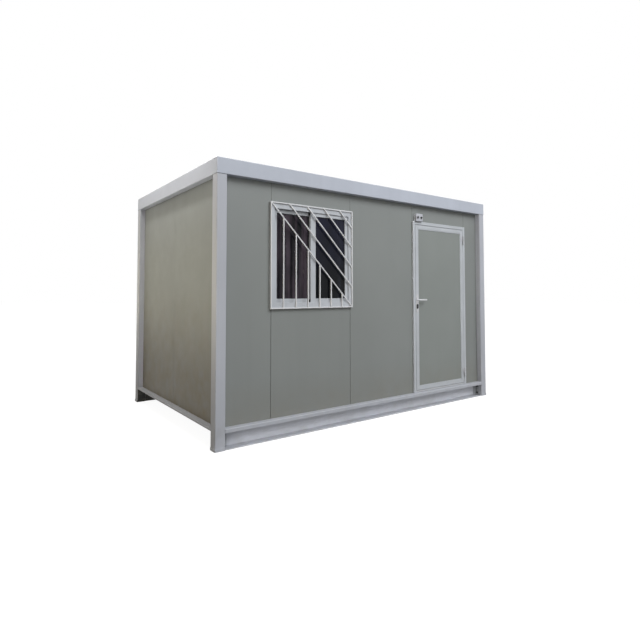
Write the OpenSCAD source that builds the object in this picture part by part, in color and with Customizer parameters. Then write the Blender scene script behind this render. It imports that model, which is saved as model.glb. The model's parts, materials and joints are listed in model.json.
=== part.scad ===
// Insulated site cabin: a steel frame of corner posts, floor beams and roof ring, filled in with
// flat sandwich panels, with one outward opening door and one sliding window behind a bar grille.
// Origin: middle of the footprint, on the ground. +X runs along the front to the door end,
// +Y runs from the front to the rear, +Z is up. Millimetres.

/* [Cabin] */
// Length over the corner posts
length = 4000; // [3800:10:6000]
// Width over the corner posts
width = 2470; // [2200:10:3000]
// Height from the ground to the top of the roof ring
height = 2635; // [2600:5:3000]
// Height of the finished floor above the ground
floor_z = 187; // [180:1:260]

/* [Steel frame] */
// Side of a square corner post
post_size = 100; // [90:1:140]
// Outer bend radius of the posts
post_r = 8; // [4:1:12]
// How far a foot stands out past its post
foot_proud = 4; // [2:1:10]
// Height of a foot
foot_h = 22; // [10:1:40]
// Sheet thickness of the beams and rails
steel_t = 4; // [3:0.5:6]
// Outer bend radius of the beams and rails
bend_r = 7; // [6:0.5:10]
// Height of the roof ring
roof_beam_h = 150; // [130:1:200]
// Height of the turned-down lip inside the roof ring
roof_lip = 25; // [15:1:40]
// Height of the upper lip of a floor beam
beam_lip = 36; // [20:1:60]
// Height of the lower lip of a floor beam
beam_toe = 12; // [8:1:30]
// Height of an end rail's inner leg
rail_h = 80; // [50:1:100]
// Height of an end rail's outer lip
rail_lip = 20; // [12:1:40]
// Length of each leg of the angle cleats that hold the floor beams to the posts
cleat_leg = 55; // [40:1:80]
// Thickness of the angle cleats
cleat_t = 6; // [4:1:10]

/* [Floor] */
// Thickness of the floor board
deck_t = 19; // [15:1:30]
// Height of a floor joist
joist_h = 110; // [80:1:140]
// Flange width of a floor joist
joist_w = 45; // [35:1:70]
// Sheet thickness of a floor joist
joist_t = 3; // [2:0.5:4]
// Number of floor joists
joist_count = 6; // [4:1:10]

/* [Wall panels] */
// Thickness of a wall panel
wall_t = 35; // [30:1:60]
// Chamfer along the panel joints
joint_chamfer = 3; // [1:0.5:5]
// Width of the front panel between the left post and the window
left_panel_w = 505; // [300:1:600]

/* [Roof] */
// Thickness of the roof panels
roof_t = 40; // [30:1:60]
// Height of the roof ribs
rib_h = 32; // [20:1:38]
// Width of a roof rib at its foot
rib_w = 62; // [50:1:90]
// Width of a roof rib at its crest
rib_crest = 26; // [15:1:40]
// Spacing of the roof ribs
rib_pitch = 250; // [200:1:400]
// Length of roof panel that bears on the ring
roof_bearing = 60; // [40:1:80]

/* [Window] */
// Width of the opening that the window fills between two panel joints
window_w = 1010; // [800:1:1050]
// Height of the window's sill above the floor
sill_h = 1075; // [900:1:1120]
// Height of the wall over the window
over_window_h = 203; // [150:1:300]
// How far the window frame stands out from the wall, on both sides
window_proud = 15; // [12:1:20]
// Overlap of the window frame on the wall panels
window_flange = 18; // [10:1:30]
// Width of the window frame's face at its sides
window_face = 52; // [45:1:70]
// Height of the window frame's face at its head and sill
window_head = 62; // [50:1:80]
// Depth of the groove that the sashes run in
track_depth = 15; // [10:1:20]
// Thickness of a sash
sash_t = 20; // [16:1:22]
// Gap between the two sash tracks
track_gap = 3; // [2:0.5:4]
// Width of a sash's outer stile
sash_stile = 57; // [40:1:70]
// Width of the stiles that meet in the middle
meeting_stile = 66; // [40:1:80]
// Height of a sash's rails
sash_rail = 52; // [40:1:80]
// Thickness of the panes
glass_t = 5; // [4:1:8]
// Clearance of a sash in its track
sash_fit = 0.3; // [0.1:0.1:0.5]

/* [Window grille] */
// Side of a square grille bar
grille_bar = 12; // [8:1:16]
// Number of slanting bars above the corner-to-corner one
slant_bars = 4; // [2:1:6]
// Spacing of the slanting bars along the top bar
slant_pitch = 214; // [150:1:240]
// Number of upright bars below the corner-to-corner one
upright_bars = 6; // [3:1:8]

/* [Door] */
// Width of the door frame
door_w = 1014; // [900:1:1050]
// Height of the wall over the door frame
over_door_h = 200; // [120:1:300]
// Width of the front panel between the door frame and the right post
right_panel_w = 273; // [100:1:500]
// How far the door frame stands out from the wall
door_proud = 20; // [10:1:25]
// Depth of the door frame
door_depth = 60; // [58:1:75]
// Width of the door frame's face
frame_face = 38; // [36:1:55]
// Height of the threshold
threshold_h = 22; // [20:1:45]
// Thickness of the door leaf
leaf_t = 40; // [36:1:45]
// Gap between the leaf and its frame
leaf_gap = 5; // [5:0.5:8]
// Overlap of the frame's stop behind the leaf
stop_overlap = 12; // [8:1:20]
// Width of the leaf's stiles and rails
leaf_stile = 44; // [42:1:60]
// Thickness of the leaf's infill panel
infill_t = 26; // [15:1:32]
// How far the infill lies behind the leaf's outer face
infill_recess = 6; // [3:1:9]

/* [Door fittings] */
// Radius of a hinge knuckle
knuckle_r = 9; // [7:0.5:12]
// Height of a whole hinge
hinge_h = 110; // [80:1:160]
// Radius of a hinge pin
hinge_pin_r = 4; // [3:0.5:5]
// Running clearance round pins and spindles
running_fit = 0.05; // [0.02:0.01:0.1]
// Gap between the two knuckles of a hinge
knuckle_gap = 0.5; // [0.3:0.1:1]
// Width of a hinge flap
flap_w = 34; // [25:1:38]
// Thickness of a hinge flap
flap_t = 3; // [2:0.5:4]
// Distance from each end of the leaf to the middle of a hinge
hinge_inset = 140; // [100:1:300]
// Height of the lever above the floor
lever_h = 1128; // [950:1:1200]
// Radius of the lever's neck
lever_neck_r = 9; // [7:0.5:10]
// Radius of the lever's arm
lever_arm_r = 8; // [6:0.5:9]
// Length of the lever from its axis
lever_length = 135; // [100:1:160]
// Distance from a lock plate to the middle of the lever's arm
lever_reach = 35; // [30:1:60]
// Width of a lock plate
plate_w = 36; // [30:1:40]
// Height of a lock plate
plate_h = 220; // [180:1:260]
// Corner radius of a lock plate
plate_r = 9; // [4:1:14]
// Thickness of a lock plate
plate_t = 5; // [3:0.5:8]
// Distance from the lever's axis down to the key cylinder
key_drop = 80; // [70:1:92]
// Radius of the key cylinder's round part
key_r = 8.5; // [8:0.5:10]
// Radius of the key cylinder's narrow web
key_web_r = 5; // [4:0.5:6]
// Height of the key cylinder
key_h = 33; // [30:1:36]
// How far the key cylinder stands out of a lock plate
key_proud = 3; // [1:0.5:5]
// Clearance round the key cylinder
key_fit = 0.2; // [0.1:0.1:0.5]

/* [Inlet box] */
// Width of the cable inlet box over the door
box_w = 120; // [90:1:160]
// Height of the cable inlet box
box_h = 94; // [60:1:110]
// Depth of the cable inlet box
box_d = 42; // [30:1:60]
// Distance from the left edge of the door frame to the inlet box
box_x = 37; // [20:1:80]
// Radius of the two inlet collars
collar_r = 19; // [12:1:20]
// How far the inlet collars stand out
collar_proud = 5; // [3:1:10]

/* [Hidden] */
$fn = 48;
overshoot = 1;
rear_panels = 4;
end_panels = 2;

// Places along the frame
left_x = -length / 2;
front_y = -width / 2;
roof_z = height - roof_beam_h;
bay_x = length - 2 * post_size;
bay_y = width - 2 * post_size;
wall_recess = post_size - wall_t;
wall_y = front_y + wall_recess;
inner_y = front_y + post_size;
wall_h = roof_z - floor_z;

// Places along the front wall
wall_x = left_x + post_size;
window_x = wall_x + left_panel_w;
middle_x = window_x + window_w;
door_right = wall_x + bay_x - right_panel_w;
door_left = door_right - door_w;
sill_z = floor_z + sill_h;
lintel_z = roof_z - over_window_h;
door_top = roof_z - over_door_h;
window_h = lintel_z - sill_z;
door_h = door_top - floor_z;

// Window frame and sashes
window_depth = wall_t + 2 * window_proud;
window_y = wall_y - window_proud;
frame_w = window_w + 2 * window_flange;
frame_h = window_h + 2 * window_flange;
light_w = frame_w - 2 * window_face;
light_h = frame_h - 2 * window_head;
track_w = light_w + 2 * track_depth;
track_h = light_h + 2 * track_depth;
tracks_t = 2 * sash_t + track_gap + 2 * sash_fit;
track_y = window_y + (window_depth - tracks_t) / 2;
sash_w = (track_w + meeting_stile) / 2 - sash_fit;
sash_h = track_h - 2 * sash_fit;
pane_w = sash_w - sash_stile - meeting_stile;
pane_h = sash_h - 2 * sash_rail;
outer_sash_y = track_y + sash_fit;
inner_sash_y = outer_sash_y + sash_t + track_gap;
window_mid_x = window_x + window_w / 2;
window_mid_z = sill_z + window_h / 2;

// Door leaf, measured from the left lower front corner of the door frame
door_y = wall_y - door_proud;
leaf_x = frame_face + leaf_gap;
leaf_z = threshold_h + leaf_gap;
leaf_w = door_w - 2 * leaf_x;
leaf_h = door_h - leaf_z - frame_face - leaf_gap;
infill_w = leaf_w - 2 * leaf_stile;
infill_h = leaf_h - 2 * leaf_stile;
stop_y = leaf_t + plate_t + leaf_gap;
stop_w = leaf_gap + stop_overlap;
lever_x = leaf_x + leaf_stile / 2;
hinge_x = door_w - frame_face - leaf_gap / 2;
hinge_off = knuckle_r + flap_t;
knuckle_h = (hinge_h - knuckle_gap) / 2;
pin_up = knuckle_h - knuckle_r;

// Rectangle with round corners, its lower left corner at the origin
module soft_square(w, h, r) {
    translate([r, 0]) square([w - 2 * r, h]);
    translate([0, r]) square([w, h - 2 * r]);
    for (x = [r, w - r], y = [r, h - r]) {
        translate([x, y]) circle(r);
    }
}

// Closed sheet-metal section with bent corners
module tube_section(w, h) {
    difference() {
        soft_square(w, h, bend_r);
        translate([steel_t, steel_t]) soft_square(w - 2 * steel_t, h - 2 * steel_t, bend_r - steel_t);
    }
}

// Carries a section drawn in (y, z) along +X
module along_x(len) {
    rotate([90, 0, 90]) linear_extrude(len) children();
}

// Corner post with its foot, drawn for the front left corner with the outer corner at the origin
module post() {
    linear_extrude(roof_z) soft_square(post_size, post_size, post_r);
    translate([-foot_proud, -foot_proud, 0])
        linear_extrude(foot_h)
            soft_square(post_size + foot_proud, post_size + foot_proud, post_r);
}

module front_left_post() {
    color([0.74, 0.75, 0.78])
        translate([left_x, front_y, 0])
            post();
}

module front_right_post() {
    color([0.74, 0.75, 0.78])
        mirror([1, 0, 0])
            translate([left_x, front_y, 0])
                post();
}

module rear_left_post() {
    color([0.74, 0.75, 0.78])
        mirror([0, 1, 0])
            translate([left_x, front_y, 0])
                post();
}

module rear_right_post() {
    color([0.74, 0.75, 0.78])
        rotate(180)
            translate([left_x, front_y, 0])
                post();
}

// Floor beam: a channel open to the outside, with a deep upper lip and a short lower one
module floor_beam() {
    along_x(bay_x)
        difference() {
            tube_section(post_size, floor_z);
            translate([-overshoot, beam_toe])
                square([steel_t + overshoot, floor_z - beam_toe - beam_lip]);
        }
}

module front_floor_beam() {
    color([0.74, 0.75, 0.78])
        translate([wall_x, front_y, 0])
            floor_beam();
}

module rear_floor_beam() {
    color([0.74, 0.75, 0.78])
        rotate(180)
            translate([wall_x, front_y, 0])
                floor_beam();
}

// End rail: a sheet bent over into an outer lip and a deeper inner leg, open underneath
module floor_rail() {
    along_x(bay_y)
        difference() {
            translate([0, -bend_r]) tube_section(post_size, rail_h + bend_r);
            translate([-overshoot, -bend_r - overshoot])
                square([post_size + 2 * overshoot, bend_r + overshoot]);
            translate([-overshoot, -overshoot])
                square([steel_t + overshoot, rail_h - rail_lip + overshoot]);
        }
}

module right_floor_rail() {
    color([0.74, 0.75, 0.78])
        rotate(90)
            translate([-bay_y / 2, left_x, floor_z - rail_h])
                floor_rail();
}

module left_floor_rail() {
    color([0.74, 0.75, 0.78])
        rotate(-90)
            translate([-bay_y / 2, left_x, floor_z - rail_h])
                floor_rail();
}

// Angle cleats in the ends of the floor beams, one leg on the post and one on the beam's web
module cleat() {
    clear_h = floor_z - 2 * bend_r;
    web_y = post_size - steel_t;
    translate([0, web_y - cleat_leg, 0]) cube([cleat_t, cleat_leg, clear_h]);
    translate([0, web_y - cleat_t, 0]) cube([cleat_leg, cleat_t, clear_h]);
}

module beam_end_cleats() {
    color([0.5, 0.51, 0.53])
        for (end = [0, 1], side = [0, 1]) {
            mirror([end, 0, 0])
                mirror([0, side, 0])
                    translate([wall_x, front_y, bend_r])
                        cleat();
        }
}

// Floor joists: channels between the webs of the two floor beams
module floor_joists() {
    spacing = bay_x / (joist_count + 1);
    color([0.55, 0.56, 0.57])
        for (i = [1:joist_count]) {
            translate([wall_x + i * spacing - joist_w / 2, inner_y, floor_z - deck_t - joist_h])
                rotate([90, 0, 180])
                    mirror([1, 0, 0])
                        linear_extrude(bay_y)
                            difference() {
                                square([joist_w, joist_h]);
                                translate([joist_t, joist_t])
                                    square([joist_w, joist_h - 2 * joist_t]);
                            }
        }
}

module floor_deck() {
    color([0.42, 0.36, 0.3])
        translate([wall_x, inner_y, floor_z - deck_t])
            cube([bay_x, bay_y, deck_t]);
}

// Roof ring beam: a lipped channel open to the inside, with mitred ends
module roof_beam(len) {
    intersection() {
        along_x(len) {
            difference() {
                tube_section(post_size, roof_beam_h);
                translate([post_size - bend_r, -overshoot])
                    square([bend_r + overshoot, roof_beam_h - roof_lip + overshoot]);
            }
            translate([bend_r, 0]) square([post_size - bend_r, steel_t]);
        }
        linear_extrude(roof_beam_h)
            polygon([[0, 0], [len, 0], [len - post_size, post_size], [post_size, post_size]]);
    }
}

module front_roof_beam() {
    color([0.76, 0.77, 0.8])
        translate([left_x, front_y, roof_z])
            roof_beam(length);
}

module rear_roof_beam() {
    color([0.76, 0.77, 0.8])
        rotate(180)
            translate([left_x, front_y, roof_z])
                roof_beam(length);
}

module right_roof_beam() {
    color([0.76, 0.77, 0.8])
        rotate(90)
            translate([front_y, left_x, roof_z])
                roof_beam(width);
}

module left_roof_beam() {
    color([0.76, 0.77, 0.8])
        rotate(-90)
            translate([front_y, left_x, roof_z])
                roof_beam(width);
}

// Roof: insulated sheet with ribs from front to rear, lying on the lower flanges of the ring
module roof_sheet() {
    edge = post_size - roof_bearing;
    sheet_w = length - 2 * edge;
    ribs = floor((sheet_w - rib_w) / rib_pitch);
    color([0.7, 0.71, 0.72])
        translate([0, width / 2 - edge, roof_z + steel_t])
            rotate([90, 0, 0])
                linear_extrude(width - 2 * edge) {
                    translate([-sheet_w / 2, 0]) square([sheet_w, roof_t]);
                    for (i = [0:ribs]) {
                        translate([(i - ribs / 2) * rib_pitch, roof_t])
                            polygon([[-rib_w / 2, -overshoot], [rib_w / 2, -overshoot],
                                     [rib_crest / 2, rib_h], [-rib_crest / 2, rib_h]]);
                    }
                }
}

// Sandwich panel, its outer face at y = 0, with the joint edges of that face chamfered
module wall_panel(w, h) {
    c = joint_chamfer;
    color([0.5, 0.52, 0.5])
        linear_extrude(h)
            polygon([[c, 0], [w - c, 0], [w, c], [w, wall_t], [0, wall_t], [0, c]]);
}

module front_panel(x, z, w, h) {
    translate([x, wall_y, z]) wall_panel(w, h);
}

module front_wall_left_panel() {
    front_panel(wall_x, floor_z, left_panel_w, wall_h);
}

module front_wall_under_window() {
    front_panel(window_x, floor_z, window_w, sill_h);
}

module front_wall_over_window() {
    front_panel(window_x, lintel_z, window_w, over_window_h);
}

module front_wall_middle_panel() {
    front_panel(middle_x, floor_z, door_left - middle_x, wall_h);
}

module front_wall_over_door() {
    front_panel(door_left, door_top, door_w, over_door_h);
}

module front_wall_right_panel() {
    front_panel(door_right, floor_z, right_panel_w, wall_h);
}

module rear_panel(i) {
    w = bay_x / rear_panels;
    rotate(180) front_panel(wall_x + i * w, floor_z, w, wall_h);
}

module rear_wall_panel_1() {
    rear_panel(0);
}

module rear_wall_panel_2() {
    rear_panel(1);
}

module rear_wall_panel_3() {
    rear_panel(2);
}

module rear_wall_panel_4() {
    rear_panel(3);
}

// End wall panel i, on the end that the turn brings it to
module end_panel(turn, i) {
    w = bay_y / end_panels;
    rotate(turn)
        translate([i * w - bay_y / 2, left_x + wall_recess, floor_z])
            wall_panel(w, wall_h);
}

module left_wall_panel_1() {
    end_panel(-90, 0);
}

module left_wall_panel_2() {
    end_panel(-90, 1);
}

module right_wall_panel_1() {
    end_panel(90, 0);
}

module right_wall_panel_2() {
    end_panel(90, 1);
}

// Block centred on the window in x and z, from y over a depth
module window_block(w, h, y, depth) {
    translate([window_mid_x - w / 2, y, window_mid_z - h / 2]) cube([w, depth, h]);
}

// Window frame: an H section that grips the panels, with a groove for the two sashes
module window_frame() {
    color([0.86, 0.87, 0.88])
        difference() {
            union() {
                window_block(window_w, window_h, window_y, window_depth);
                window_block(frame_w, frame_h, window_y, window_proud);
                window_block(frame_w, frame_h, wall_y + wall_t, window_proud);
            }
            window_block(light_w, light_h, window_y - overshoot, window_depth + 2 * overshoot);
            window_block(track_w, track_h, track_y, tracks_t);
        }
}

// Sash with its meeting stile on the left, its lower left corner at the origin
module sash() {
    difference() {
        cube([sash_w, sash_t, sash_h]);
        translate([meeting_stile, -overshoot, sash_rail])
            cube([pane_w, sash_t + 2 * overshoot, pane_h]);
    }
}

module pane() {
    translate([meeting_stile, (sash_t - glass_t) / 2, sash_rail])
        cube([pane_w, glass_t, pane_h]);
}

// Right half in the outer track, left half mirrored in the inner track
module both_sashes() {
    sash_z = window_mid_z - sash_h / 2;
    translate([window_mid_x - meeting_stile / 2, outer_sash_y, sash_z]) children();
    translate([window_mid_x + meeting_stile / 2, inner_sash_y, sash_z])
        mirror([1, 0, 0])
            children();
}

module window_sashes() {
    color([0.9, 0.9, 0.91]) both_sashes() sash();
}

module window_glass() {
    color([0.2, 0.22, 0.25, 0.6]) both_sashes() pane();
}

// Window grille: a frame of square bar on the window frame's face, one bar from corner to corner,
// slanting bars beside it in the upper half and upright bars under it in the lower half
module grille_outline() {
    translate([-frame_w / 2, -frame_h / 2]) square([frame_w, frame_h]);
}

module slanting_bar(shift) {
    slope = atan2(frame_h, frame_w);
    reach = norm([frame_w, frame_h]) + 2 * grille_bar;
    translate([shift, 0])
        rotate(-slope)
            translate([-reach / 2, -grille_bar / 2])
                square([reach, grille_bar]);
}

module below_slant() {
    polygon([[-frame_w / 2, frame_h / 2], [frame_w / 2, -frame_h / 2], [-frame_w / 2, -frame_h / 2]]);
}

module grille_frame() {
    difference() {
        grille_outline();
        translate([grille_bar - frame_w / 2, grille_bar - frame_h / 2])
            square([frame_w - 2 * grille_bar, frame_h - 2 * grille_bar]);
    }
}

module slanting_bars() {
    intersection() {
        grille_outline();
        for (i = [0:slant_bars]) {
            slanting_bar(i * slant_pitch);
        }
    }
}

module upright_bars_below() {
    upright_pitch = frame_w / (upright_bars + 1);
    intersection() {
        below_slant();
        for (i = [1:upright_bars]) {
            translate([i * upright_pitch - (frame_w + grille_bar) / 2, -frame_h / 2])
                square([grille_bar, frame_h]);
        }
    }
}

module window_grille() {
    color([0.9, 0.9, 0.91])
        translate([window_mid_x, window_y, window_mid_z])
            rotate([90, 0, 0]) {
                linear_extrude(grille_bar) grille_frame();
                linear_extrude(grille_bar) slanting_bars();
                linear_extrude(grille_bar) upright_bars_below();
            }
}

// Moves a piece to the left lower front corner of the door frame
module at_door() {
    translate([door_left, door_y, floor_z]) children();
}

// Door frame: two jambs, a head and a threshold, with a stop behind the leaf
module jamb() {
    linear_extrude(door_h) square([frame_face, door_depth]);
    translate([0, stop_y, 0])
        linear_extrude(door_h - frame_face)
            square([frame_face + stop_w, door_depth - stop_y]);
}

module door_jambs() {
    color([0.86, 0.87, 0.88])
        at_door() {
            jamb();
            translate([door_w, 0, 0]) mirror([1, 0, 0]) jamb();
        }
}

module door_head() {
    span = door_w - 2 * frame_face;
    color([0.86, 0.87, 0.88])
        at_door() {
            translate([frame_face, 0, door_h - frame_face]) cube([span, door_depth, frame_face]);
            translate([frame_face + stop_w, stop_y, door_h - frame_face - stop_w])
                cube([span - 2 * stop_w, door_depth - stop_y, stop_w + overshoot]);
        }
}

module door_threshold() {
    span = door_w - 2 * frame_face;
    color([0.7, 0.71, 0.72])
        at_door() {
            translate([frame_face, 0, 0]) cube([span, stop_y, threshold_h]);
            translate([frame_face + stop_w, 0, 0])
                cube([span - 2 * stop_w, door_depth, threshold_h]);
        }
}

// Hinges: the frame half carries the pin, the leaf half turns on it
module at_hinges() {
    at_door()
        for (z = [leaf_z + hinge_inset, leaf_z + leaf_h - hinge_inset]) {
            translate([hinge_x, -hinge_off, z - hinge_h / 2]) children();
        }
}

module flap() {
    translate([0, knuckle_r, 0]) cube([flap_w, flap_t, knuckle_h]);
    cube([knuckle_r, hinge_off, knuckle_h]);
}

module hinge_frame_halves() {
    color([0.8, 0.8, 0.82])
        at_hinges() {
            cylinder(r = knuckle_r, h = knuckle_h);
            cylinder(r = hinge_pin_r, h = knuckle_h + knuckle_gap + pin_up);
            translate([leaf_gap / 2, 0, 0]) flap();
        }
}

module hinge_leaf_halves() {
    color([0.8, 0.8, 0.82])
        at_hinges()
            translate([0, 0, knuckle_h + knuckle_gap])
                difference() {
                    union() {
                        cylinder(r = knuckle_r, h = knuckle_h);
                        translate([-leaf_gap / 2, 0, 0]) mirror([1, 0, 0]) flap();
                    }
                    translate([0, 0, -overshoot])
                        cylinder(r = hinge_pin_r + running_fit, h = pin_up + knuckle_gap + overshoot);
                }
}

// Key cylinder outline: a round part over a narrow web with a round end
module key_outline(fit) {
    web_z = key_web_r - key_h / 2;
    half = key_web_r + fit;
    translate([0, key_h / 2 - key_r]) circle(key_r + fit);
    translate([0, web_z]) circle(half);
    translate([-half, web_z]) square([2 * half, key_h - key_r - key_web_r]);
}

// Carries an outline drawn in (x, z) from y over a depth
module through_y(y, depth) {
    translate([0, y + depth, 0]) rotate([90, 0, 0]) linear_extrude(depth) children();
}

module at_lever() {
    at_door() translate([lever_x, 0, lever_h]) children();
}

// Holes for the lever's spindle and the key cylinder
module lock_holes(y, depth) {
    through_y(y, depth) circle(lever_neck_r + running_fit);
    translate([0, 0, -key_drop]) through_y(y, depth) key_outline(key_fit);
}

// Door leaf: hollow stiles and rails round a flat insulated infill
module door_leaf_frame() {
    color([0.86, 0.87, 0.88])
        difference() {
            at_door()
                translate([leaf_x, 0, leaf_z])
                    difference() {
                        cube([leaf_w, leaf_t, leaf_h]);
                        translate([leaf_stile, -overshoot, leaf_stile])
                            cube([infill_w, leaf_t + 2 * overshoot, infill_h]);
                    }
            at_lever() lock_holes(-overshoot, leaf_t + 2 * overshoot);
        }
}

module door_infill() {
    color([0.52, 0.54, 0.52])
        at_door()
            translate([leaf_x + leaf_stile, infill_recess, leaf_z + leaf_stile])
                cube([infill_w, infill_t, infill_h]);
}

// Lock plates, one on each face of the leaf
module lock_plate(y) {
    plate_up = (plate_h - key_drop) / 2;
    difference() {
        translate([-plate_w / 2, 0, plate_up - plate_h])
            through_y(y, plate_t)
                soft_square(plate_w, plate_h, plate_r);
        lock_holes(y - overshoot, plate_t + 2 * overshoot);
    }
}

module lock_plates() {
    color([0.8, 0.8, 0.82])
        at_lever() {
            lock_plate(-plate_t);
            lock_plate(leaf_t);
        }
}

module key_cylinder() {
    reach = plate_t + key_proud;
    color([0.2, 0.2, 0.21])
        at_lever()
            translate([0, 0, -key_drop])
                through_y(-reach, leaf_t + 2 * reach)
                    key_outline(0);
}

// Lever: one spindle through the leaf with an arm on each side
module lever_arm(y) {
    translate([0, y, 0]) {
        sphere(lever_neck_r);
        rotate([0, 90, 0]) cylinder(r = lever_arm_r, h = lever_length - lever_arm_r);
        translate([lever_length - lever_arm_r, 0, 0]) sphere(lever_arm_r);
    }
}

module door_lever() {
    reach = plate_t + lever_reach;
    color([0.82, 0.82, 0.83])
        at_lever() {
            through_y(-reach, leaf_t + 2 * reach) circle(lever_neck_r);
            lever_arm(-reach);
            lever_arm(leaf_t + reach);
        }
}

// Inlet box: a small closed box over the door with two blank round collars
module inlet_box() {
    color([0.86, 0.87, 0.88])
        translate([door_left + box_x, wall_y - box_d, door_top]) {
            cube([box_w, box_d, box_h]);
            for (x = [box_w / 4, 3 * box_w / 4]) {
                translate([x, 0, box_h / 2])
                    rotate([90, 0, 0])
                        cylinder(r = collar_r, h = collar_proud);
            }
        }
}

front_left_post();
front_right_post();
rear_left_post();
rear_right_post();
front_floor_beam();
rear_floor_beam();
left_floor_rail();
right_floor_rail();
beam_end_cleats();
floor_joists();
floor_deck();
front_roof_beam();
rear_roof_beam();
left_roof_beam();
right_roof_beam();
roof_sheet();
front_wall_left_panel();
front_wall_under_window();
front_wall_over_window();
front_wall_middle_panel();
front_wall_over_door();
front_wall_right_panel();
rear_wall_panel_1();
rear_wall_panel_2();
rear_wall_panel_3();
rear_wall_panel_4();
left_wall_panel_1();
left_wall_panel_2();
right_wall_panel_1();
right_wall_panel_2();
window_frame();
window_sashes();
window_glass();
window_grille();
door_jambs();
door_head();
door_threshold();
hinge_frame_halves();
hinge_leaf_halves();
door_leaf_frame();
door_infill();
lock_plates();
key_cylinder();
door_lever();
inlet_box();
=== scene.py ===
# Looks of an insulated site cabin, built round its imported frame. Metres, front at -Y, +Z up.
import json
from math import pi, radians

import bmesh
import bpy
from mathutils import Matrix, Vector


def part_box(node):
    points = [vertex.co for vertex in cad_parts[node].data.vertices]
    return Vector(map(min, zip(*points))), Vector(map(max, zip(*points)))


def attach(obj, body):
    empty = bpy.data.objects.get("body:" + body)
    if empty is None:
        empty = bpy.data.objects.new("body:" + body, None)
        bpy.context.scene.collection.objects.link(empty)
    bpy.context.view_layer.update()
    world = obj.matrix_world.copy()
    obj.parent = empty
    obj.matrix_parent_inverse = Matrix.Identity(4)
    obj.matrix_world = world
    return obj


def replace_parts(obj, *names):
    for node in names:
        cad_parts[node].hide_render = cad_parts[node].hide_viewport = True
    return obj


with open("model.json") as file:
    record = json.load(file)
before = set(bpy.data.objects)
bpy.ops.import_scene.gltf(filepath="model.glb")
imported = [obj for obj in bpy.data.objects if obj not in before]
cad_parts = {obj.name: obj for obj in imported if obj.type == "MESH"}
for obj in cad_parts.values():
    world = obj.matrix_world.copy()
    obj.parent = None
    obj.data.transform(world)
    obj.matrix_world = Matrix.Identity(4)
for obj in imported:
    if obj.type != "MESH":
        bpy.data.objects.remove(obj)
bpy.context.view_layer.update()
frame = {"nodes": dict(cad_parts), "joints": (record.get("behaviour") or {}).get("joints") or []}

nodes = frame["nodes"]


# Corner posts: four square posts folded from sheet steel, each welded to a slightly wider foot and
# sprayed light grey. The roof ring is set down on them in a thin bead of grey sealant.
POSTS = ("front_left_post", "front_right_post", "rear_left_post", "rear_right_post")


def paint_chart(red, green, blue):
    """A colour as a paint chart gives it, from 0 to 255, brought to the renderer's linear scale."""
    shares = (red / 255, green / 255, blue / 255)
    return tuple(s / 12.92 if s < 0.04045 else ((s + 0.055) / 1.055) ** 2.4 for s in shares) + (1.0,)


def shade(colour, share):
    """The same colour made darker or lighter."""
    return tuple(channel * share for channel in colour[:3]) + (1.0,)


class Wiring:
    """Adds nodes to one shader tree and joins them up."""

    def __init__(self, tree):
        self.tree = tree

    def add(self, kind, inputs=None, **settings):
        """Adds a node, sets its options and fills or links its inputs."""
        made = self.tree.nodes.new("ShaderNode" + kind)
        for option, value in settings.items():
            setattr(made, option, value)
        for socket, value in (inputs or {}).items():
            self.feed(made.inputs[socket], value)
        return made

    def feed(self, socket, value):
        """Links a socket to another node's output, or sets its constant."""
        if isinstance(value, bpy.types.NodeSocket):
            self.tree.links.new(value, socket)
        else:
            socket.default_value = value

    def maths(self, operation, first, second=0.0):
        """One step of arithmetic on one or two values."""
        return self.add("Math", {0: first, 1: second}, operation=operation).outputs[0]

    def fit(self, value, low, high, at_low=0.0, at_high=1.0):
        """Carries the span from low to high over to another span, clamped at both ends."""
        limits = {"From Min": low, "From Max": high, "To Min": at_low, "To Max": at_high}
        return self.add("MapRange", {"Value": value, **limits}).outputs["Result"]

    def tint(self, factor, first, second):
        """Goes from the first colour to the second as the factor goes from 0 to 1."""
        return self.add("Mix", {0: factor, 6: first, 7: second}, data_type="RGBA").outputs[2]


class Finish(Wiring):
    """One surface finish: a Principled shader whose patterns follow the object's own coordinates."""

    def __init__(self, name, constants):
        self.material = bpy.data.materials.new(name)
        self.material.use_nodes = True
        super().__init__(self.material.node_tree)
        self.shader = self.tree.nodes["Principled BSDF"]
        for socket, value in constants.items():
            self.shader.inputs[socket].default_value = value
        self.place = self.add("TexCoord").outputs["Object"]

    def grain(self, scale, stretch=(1.0, 1.0, 1.0), detail=3.0):
        """Cloudy noise from 0 to 1. A small stretch along an axis draws it out into streaks."""
        spread = self.add("Mapping", {"Vector": self.place, "Scale": stretch}).outputs["Vector"]
        noise = self.add("TexNoise", {"Vector": spread, "Scale": scale, "Detail": detail})
        return noise.outputs["Fac"]

    def along(self, axis):
        """The object coordinate along X, Y or Z."""
        return self.add("SeparateXYZ", {"Vector": self.place}).outputs[axis]

    def within(self, axis, reach):
        """Gives 1 where a point is less than reach from the middle along an axis, and 0 beyond."""
        return self.maths("LESS_THAN", self.maths("ABSOLUTE", self.along(axis)), reach)

    def lay_on(self, colour, roughness, height, depth):
        """Joins colour, roughness and the bump of a height pattern to the shader."""
        relief = self.add("Bump", {"Height": height, "Distance": depth, "Strength": 1.0})
        self.feed(self.shader.inputs["Base Color"], colour)
        self.feed(self.shader.inputs["Roughness"], roughness)
        self.feed(self.shader.inputs["Normal"], relief.outputs["Normal"])
        return self.material


ROAD_DUST = paint_chart(124, 118, 106)
DARK_SHADE_AND_GRIME = paint_chart(26, 26, 24)
PALE_SHADE_AND_GRIME = paint_chart(66, 64, 59)
DARK_EDGE_BAND_H = 0.024
WEB_T = 0.004
floor_low, floor_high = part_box("floor_deck")


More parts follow.
